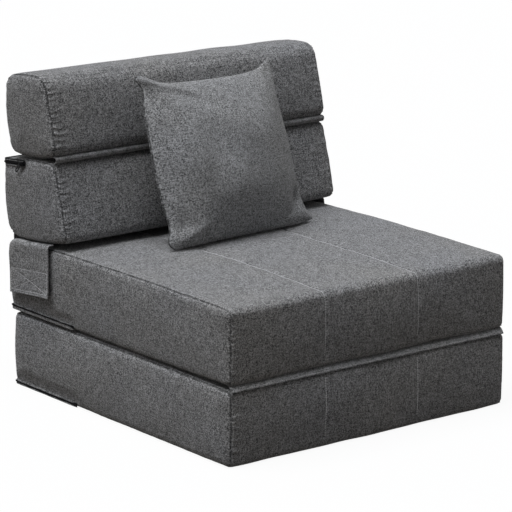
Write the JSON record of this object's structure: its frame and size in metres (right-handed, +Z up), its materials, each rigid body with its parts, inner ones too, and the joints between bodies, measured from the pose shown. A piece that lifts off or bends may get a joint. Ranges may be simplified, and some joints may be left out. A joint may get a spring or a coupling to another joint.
{
  "type": "convertible chair bed",
  "caption": "Low foam chair that unfolds into a single bed: stacked upholstered blocks hinged by fabric strips, side straps that hold the back up, and a square scatter pillow.",
  "frame": {"origin": "middle of the base block's flat underside, on the floor", "axes": "+Z up, +Y to the rear, +X to the right as seen from the front"},
  "size_m": [0.7144, 0.7716, 0.6527],
  "materials": {
    "cover_fabric": "heathered dark grey linen-look plain weave",
    "strip_fabric": "the cover's fabric, folded and double stitched",
    "strap_fabric": "the cover's fabric, doubled, box and cross stitched",
    "pillow_fabric": "heathered dark grey linen-look plain weave",
    "foam": "open-cell polyurethane foam",
    "filling": "hollow polyester fibre",
    "hook_and_loop": "black hook and loop tape",
    "zipper_tape": "black woven tape",
    "zipper_coil": "black nylon coil",
    "zipper_metal": "black enamelled die-cast metal"
  },
  "bodies": {
    "seat": {"seat_foam_core": "foam", "seat_cover_wrap": "cover_fabric", "seat_cover_left_panel": "cover_fabric", "seat_cover_right_panel": "cover_fabric", "seat_zipper_tape": "zipper_tape", "seat_zipper_teeth": "zipper_coil", "front_hinge_strip": "strip_fabric", "rear_hinge_strip": "strip_fabric", "left_seat_loop_patch": "hook_and_loop", "right_seat_loop_patch": "hook_and_loop"},
    "base": {"base_foam_core": "foam", "base_cover_wrap": "cover_fabric", "base_cover_left_panel": "cover_fabric", "base_cover_right_panel": "cover_fabric", "base_zipper_tape": "zipper_tape", "base_zipper_teeth": "zipper_coil"},
    "lower_back": {"lower_back_foam_core": "foam", "lower_back_cover_wrap": "cover_fabric", "lower_back_cover_left_panel": "cover_fabric", "lower_back_cover_right_panel": "cover_fabric", "lower_back_zipper_tape": "zipper_tape", "lower_back_zipper_teeth": "zipper_coil", "back_hinge_strip": "strip_fabric"},
    "upper_back": {"upper_back_foam_core": "foam", "upper_back_cover_wrap": "cover_fabric", "upper_back_cover_left_panel": "cover_fabric", "upper_back_cover_right_panel": "cover_fabric", "upper_back_zipper_tape": "zipper_tape", "upper_back_zipper_teeth": "zipper_coil"},
    "left_strap": {"left_strap_flap": "strap_fabric", "left_strap_hook_patch": "hook_and_loop"},
    "right_strap": {"right_strap_flap": "strap_fabric", "right_strap_hook_patch": "hook_and_loop"},
    "pillow": {"pillow_filling": "filling", "pillow_front_panel": "pillow_fabric", "pillow_back_panel": "pillow_fabric"},
    "base_slider": {"base_zipper_slider": "zipper_metal"},
    "base_pull": {"base_zipper_pull": "zipper_metal"},
    "seat_slider": {"seat_zipper_slider": "zipper_metal"},
    "seat_pull": {"seat_zipper_pull": "zipper_metal"},
    "lower_back_slider": {"lower_back_zipper_slider": "zipper_metal"},
    "lower_back_pull": {"lower_back_zipper_pull": "zipper_metal"},
    "upper_back_slider": {"upper_back_zipper_slider": "zipper_metal"},
    "upper_back_pull": {"upper_back_zipper_pull": "zipper_metal"}
  },
  "joints": [
    {"name": "base_fold", "type": "hinge", "parent": "seat", "child": "base", "pos_m": [0, -0.374, 0.158], "axis": [-1, 0, 0], "range_deg": [0, 180], "deforming": ["front_hinge_strip"]},
    {"name": "lower_back_fold", "type": "hinge", "parent": "seat", "child": "lower_back", "pos_m": [0, 0.391, 0.311], "axis": [-1, 0, 0], "range_deg": [0, 174.5], "deforming": ["rear_hinge_strip"]},
    {"name": "upper_back_fold", "type": "hinge", "parent": "lower_back", "child": "upper_back", "pos_m": [0, 0.20325, 0.49987], "axis": [1, 0, 0], "range_deg": [0, 180], "deforming": ["back_hinge_strip"]},
    {"name": "left_strap_peel", "type": "hinge", "parent": "lower_back", "child": "left_strap", "pos_m": [-0.35515, 0.29793, 0.31996], "axis": [0, 0.9954, -0.0958], "range_deg": [0, 170]},
    {"name": "right_strap_peel", "type": "hinge", "parent": "lower_back", "child": "right_strap", "pos_m": [0.35515, 0.29793, 0.31996], "axis": [0, -0.9954, 0.0958], "range_deg": [0, 170]},
    {"name": "pillow_lift", "type": "slide", "parent": "seat", "child": "pillow", "axis": [0, -0.5, 0.866], "range_m": [0, 0.25]},
    {"name": "base_slider_slide", "type": "slide", "parent": "base", "child": "base_slider", "axis": [-1, 0, 0], "range_m": [0, 0.6]},
    {"name": "base_pull_swing", "type": "hinge", "parent": "base_slider", "child": "base_pull", "pos_m": [0.3, 0.368, 0.006], "axis": [0, 1, 0], "range_deg": [0, 180]},
    {"name": "seat_slider_slide", "type": "slide", "parent": "seat", "child": "seat_slider", "axis": [-1, 0, 0], "range_m": [0, 0.6]},
    {"name": "seat_pull_swing", "type": "hinge", "parent": "seat_slider", "child": "seat_pull", "pos_m": [0.3, 0.377, 0.168], "axis": [0, 1, 0], "range_deg": [-90, 90]},
    {"name": "upper_back_slider_slide", "type": "slide", "parent": "upper_back", "child": "upper_back_slider", "axis": [-1, 0, 0], "range_m": [0, 0.6]},
    {"name": "upper_back_pull_swing", "type": "hinge", "parent": "upper_back_slider", "child": "upper_back_pull", "pos_m": [0.3, 0.3701, 0.50389], "axis": [0, 0.9954, -0.0958], "range_deg": [-90, 90]},
    {"name": "lower_back_slider_slide", "type": "slide", "parent": "lower_back", "child": "lower_back_slider", "axis": [0, 0.9954, -0.0958], "range_m": [0, 0.058]},
    {"name": "lower_back_pull_swing", "type": "hinge", "parent": "lower_back_slider", "child": "lower_back_pull", "pos_m": [-0.349, 0.32732, 0.47385], "axis": [-1, 0, 0], "range_deg": [-45, 135]}
  ],
  "couplings": [
    {"joint": "upper_back_fold", "follows": "lower_back_fold", "ratio": 1.0315},
    {"joint": "left_strap_peel", "follows": "lower_back_fold", "ratio": 0.974},
    {"joint": "right_strap_peel", "follows": "lower_back_fold", "ratio": 0.974}
  ]
}
